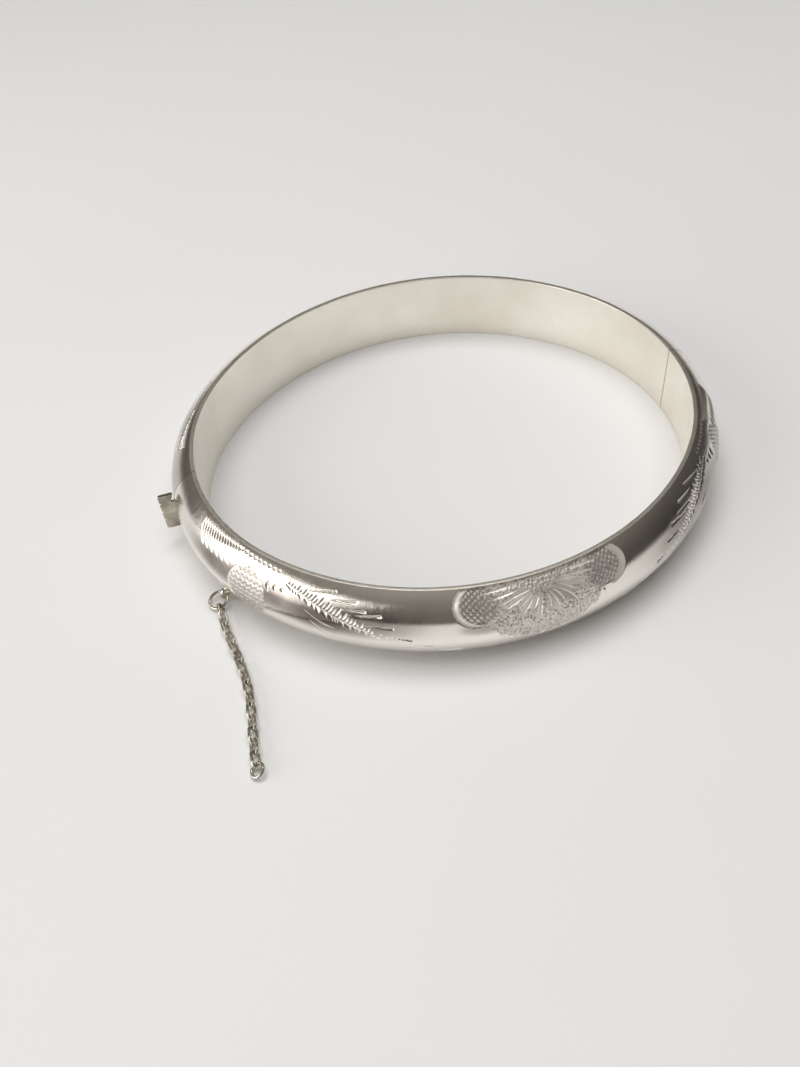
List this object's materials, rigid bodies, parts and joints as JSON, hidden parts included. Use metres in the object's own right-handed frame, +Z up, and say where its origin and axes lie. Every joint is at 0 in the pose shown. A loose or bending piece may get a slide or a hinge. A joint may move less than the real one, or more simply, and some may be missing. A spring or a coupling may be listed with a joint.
{
  "type": "hinged bangle bracelet",
  "caption": "Hollow oval bangle that opens on a hinge, closed by a push-in tongue clasp with a thumb tab, with a safety chain on eyelets.",
  "frame": {"origin": "middle of the oval wrist opening, on the surface the band rests on", "axes": "+Z up through the opening, +X towards the hinge, -X towards the clasp; the front, engraved half is at -Y"},
  "size_m": [0.0698, 0.0684, 0.0095],
  "materials": {
    "outer_shell": "polished, hand-engraved silver with light tarnish in the cuts",
    "inner_liner": "satin silver, fine circumferential scratches",
    "hidden_plates": "filed silver",
    "hinge_parts": "drawn silver tube and pin, lightly tarnished",
    "clasp_parts": "hard-rolled silver, polished on the thumb tab",
    "eyelets": "polished silver",
    "chain": "polished silver wire"
  },
  "bodies": {
    "front_half": {"front_outer_shell": "outer_shell", "front_inner_liner": "inner_liner", "front_hinge_plate": "hidden_plates", "front_hinge_knuckle": "hinge_parts", "front_clasp_plate": "hidden_plates", "clasp_box": "hidden_plates", "front_eyelet": "eyelets"},
    "back_half": {"back_outer_shell": "outer_shell", "back_inner_liner": "inner_liner", "back_hinge_plate": "hidden_plates", "back_hinge_knuckles": "hinge_parts", "hinge_pin": "hinge_parts", "back_clasp_plate": "hidden_plates", "clasp_tongue": "clasp_parts", "back_eyelet": "eyelets"},
    "thumb_catch": {"spring_leaf": "clasp_parts", "thumb_tab": "clasp_parts"},
    "jump_ring": {"jump_ring": "chain"},
    "chain_link_01": {"chain_link_01": "chain"},
    "chain_link_02": {"chain_link_02": "chain"},
    "chain_link_03": {"chain_link_03": "chain"},
    "chain_link_04": {"chain_link_04": "chain"},
    "chain_link_05": {"chain_link_05": "chain"},
    "chain_link_06": {"chain_link_06": "chain"},
    "chain_link_07": {"chain_link_07": "chain"},
    "chain_link_08": {"chain_link_08": "chain"},
    "chain_link_09": {"chain_link_09": "chain"},
    "chain_link_10": {"chain_link_10": "chain"},
    "chain_link_11": {"chain_link_11": "chain"},
    "chain_link_12": {"chain_link_12": "chain"},
    "chain_link_13": {"chain_link_13": "chain"},
    "chain_link_14": {"chain_link_14": "chain"},
    "chain_link_15": {"chain_link_15": "chain"},
    "chain_end_ring": {"chain_end_ring": "chain"}
  },
  "joints": [
    {"name": "main_hinge", "type": "hinge", "parent": "front_half", "child": "back_half", "pos_m": [0.0328, 0, 0.00475], "axis": [0, 0, -1], "range_deg": [0, 52]},
    {"name": "thumb_press", "type": "hinge", "parent": "back_half", "child": "thumb_catch", "pos_m": [-0.03161, -0.00489, 0.00475], "axis": [0, 0, -1], "range_deg": [0, 4], "stiffness_Nm_per_rad": 0.02, "springref_deg": -1.15},
    {"name": "jump_ring_swing", "type": "hinge", "parent": "front_half", "child": "jump_ring", "pos_m": [-0.03081, -0.01231, 0.001], "axis": [-0.4305, 0.9026, 0], "range_deg": [0, 30]},
    {"name": "chain_joint_01", "type": "hinge", "parent": "jump_ring", "child": "chain_link_01", "pos_m": [-0.03173, -0.01386, 0.00057], "axis": [-0.9673, 0, -0.2537], "range_deg": [0, 12]},
    {"name": "chain_joint_02", "type": "hinge", "parent": "chain_link_01", "child": "chain_link_02", "pos_m": [-0.03173, -0.01532, 0.00061], "axis": [-0.5, 0, 0.866], "range_deg": [0, 12]},
    {"name": "chain_joint_03", "type": "hinge", "parent": "chain_link_02", "child": "chain_link_03", "pos_m": [-0.03165, -0.01677, 0.00061], "axis": [-0.706, -0.0401, -0.7071], "range_deg": [0, 12]},
    {"name": "chain_joint_04", "type": "hinge", "parent": "chain_link_03", "child": "chain_link_04", "pos_m": [-0.0315, -0.01821, 0.00061], "axis": [-0.7033, -0.0732, 0.7071], "range_deg": [0, 12]},
    {"name": "chain_joint_05", "type": "hinge", "parent": "chain_link_04", "child": "chain_link_05", "pos_m": [-0.03131, -0.01965, 0.00061], "axis": [-0.7009, -0.0936, -0.7071], "range_deg": [0, 12]},
    {"name": "chain_joint_06", "type": "hinge", "parent": "chain_link_05", "child": "chain_link_06", "pos_m": [-0.03111, -0.02108, 0.00061], "axis": [-0.7003, -0.0979, 0.7071], "range_deg": [0, 12]},
    {"name": "chain_joint_07", "type": "hinge", "parent": "chain_link_06", "child": "chain_link_07", "pos_m": [-0.03093, -0.02252, 0.00061], "axis": [-0.7019, -0.0853, -0.7071], "range_deg": [0, 12]},
    {"name": "chain_joint_08", "type": "hinge", "parent": "chain_link_07", "child": "chain_link_08", "pos_m": [-0.03081, -0.02397, 0.00061], "axis": [-0.7047, -0.058, 0.7071], "range_deg": [0, 12]},
    {"name": "chain_joint_09", "type": "hinge", "parent": "chain_link_08", "child": "chain_link_09", "pos_m": [-0.03077, -0.02542, 0.00061], "axis": [-0.7068, -0.0205, -0.7071], "range_deg": [0, 12]},
    {"name": "chain_joint_10", "type": "hinge", "parent": "chain_link_09", "child": "chain_link_10", "pos_m": [-0.03081, -0.02687, 0.00061], "axis": [-0.7068, 0.0205, 0.7071], "range_deg": [0, 12]},
    {"name": "chain_joint_11", "type": "hinge", "parent": "chain_link_10", "child": "chain_link_11", "pos_m": [-0.03093, -0.02831, 0.00061], "axis": [-0.7047, 0.058, -0.7071], "range_deg": [0, 12]},
    {"name": "chain_joint_12", "type": "hinge", "parent": "chain_link_11", "child": "chain_link_12", "pos_m": [-0.03111, -0.02975, 0.00061], "axis": [-0.7019, 0.0853, 0.7071], "range_deg": [0, 12]},
    {"name": "chain_joint_13", "type": "hinge", "parent": "chain_link_12", "child": "chain_link_13", "pos_m": [-0.03131, -0.03119, 0.00061], "axis": [-0.7003, 0.0979, -0.7071], "range_deg": [0, 12]},
    {"name": "chain_joint_14", "type": "hinge", "parent": "chain_link_13", "child": "chain_link_14", "pos_m": [-0.0315, -0.03262, 0.00061], "axis": [-0.7009, 0.0936, 0.7071], "range_deg": [0, 12]},
    {"name": "chain_joint_15", "type": "hinge", "parent": "chain_link_14", "child": "chain_link_15", "pos_m": [-0.03165, -0.03407, 0.00061], "axis": [-0.7033, 0.0732, -0.7071], "range_deg": [0, 12]},
    {"name": "end_ring_joint", "type": "hinge", "parent": "chain_link_15", "child": "chain_end_ring", "pos_m": [-0.03173, -0.03551, 0.00061], "axis": [-0.706, 0.0401, 0.7071], "range_deg": [0, 12]}
  ]
}
